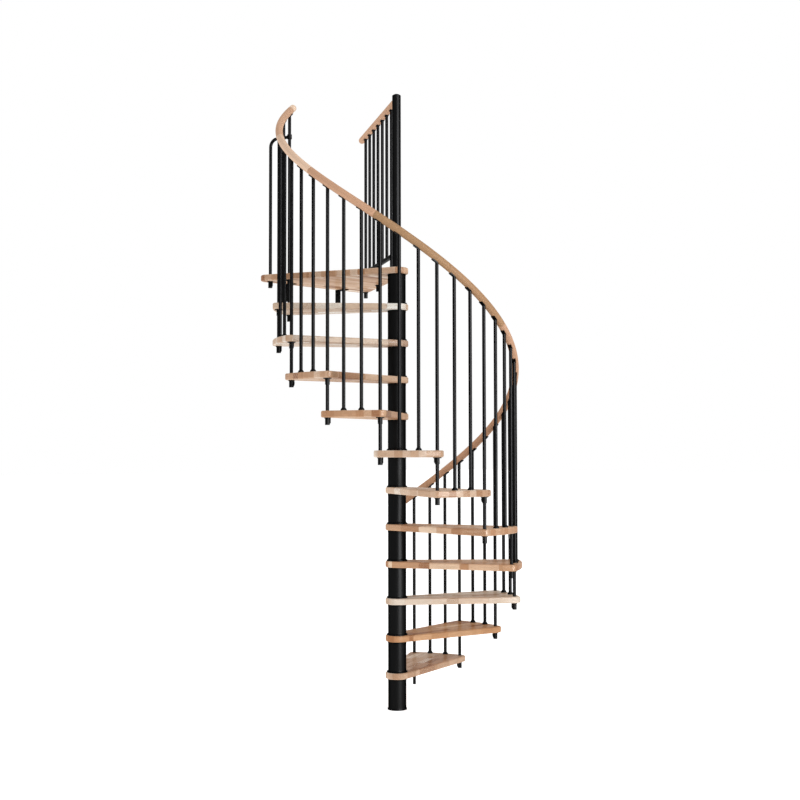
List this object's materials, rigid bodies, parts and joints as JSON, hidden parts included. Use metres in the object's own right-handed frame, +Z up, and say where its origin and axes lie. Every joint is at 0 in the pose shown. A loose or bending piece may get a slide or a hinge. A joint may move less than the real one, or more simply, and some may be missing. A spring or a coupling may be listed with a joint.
{
  "type": "spiral staircase",
  "caption": "Spiral staircase of wooden wedge treads on a black round column, with black balusters, a helical wooden handrail and a guarded landing.",
  "frame": {"origin": "centre of the column's base foot, on the floor", "axes": "+Z up along the column, +Y square to the landing's straight exit edge, towards the upper floor"},
  "size_m": [1.4215, 1.5648, 3.5459],
  "materials": {
    "beech": "satin lacquered edge-glued beech",
    "black_steel": "satin black powder coat",
    "black_plastic": "satin black moulded plastic"
  },
  "bodies": {
    "root": {"tread_01": "beech", "tread_02": "beech", "tread_03": "beech", "tread_04": "beech", "tread_05": "beech", "tread_06": "beech", "tread_07": "beech", "tread_08": "beech", "tread_09": "beech", "tread_10": "beech", "tread_11": "beech", "landing": "beech", "handrail_01": "beech", "handrail_02": "beech", "handrail_03": "beech", "handrail_04": "beech", "handrail_05": "beech", "handrail_06": "beech", "handrail_07": "beech", "handrail_08": "beech", "handrail_09": "beech", "handrail_10": "beech", "landing_rail": "beech", "base_foot": "black_steel", "core_tube": "black_steel", "first_baluster": "black_steel", "balusters_01": "black_steel", "balusters_02": "black_steel", "balusters_03": "black_steel", "balusters_04": "black_steel", "balusters_05": "black_steel", "balusters_06": "black_steel", "balusters_07": "black_steel", "balusters_08": "black_steel", "balusters_09": "black_steel", "balusters_10": "black_steel", "balusters_11": "black_steel", "landing_guard": "black_steel", "corner_hoop": "black_steel", "landing_bracket_left": "black_steel", "landing_bracket_right": "black_steel", "post_cap": "black_plastic", "column_spacers": "black_plastic", "tread_collars": "black_plastic"}
  },
  "joints": []
}
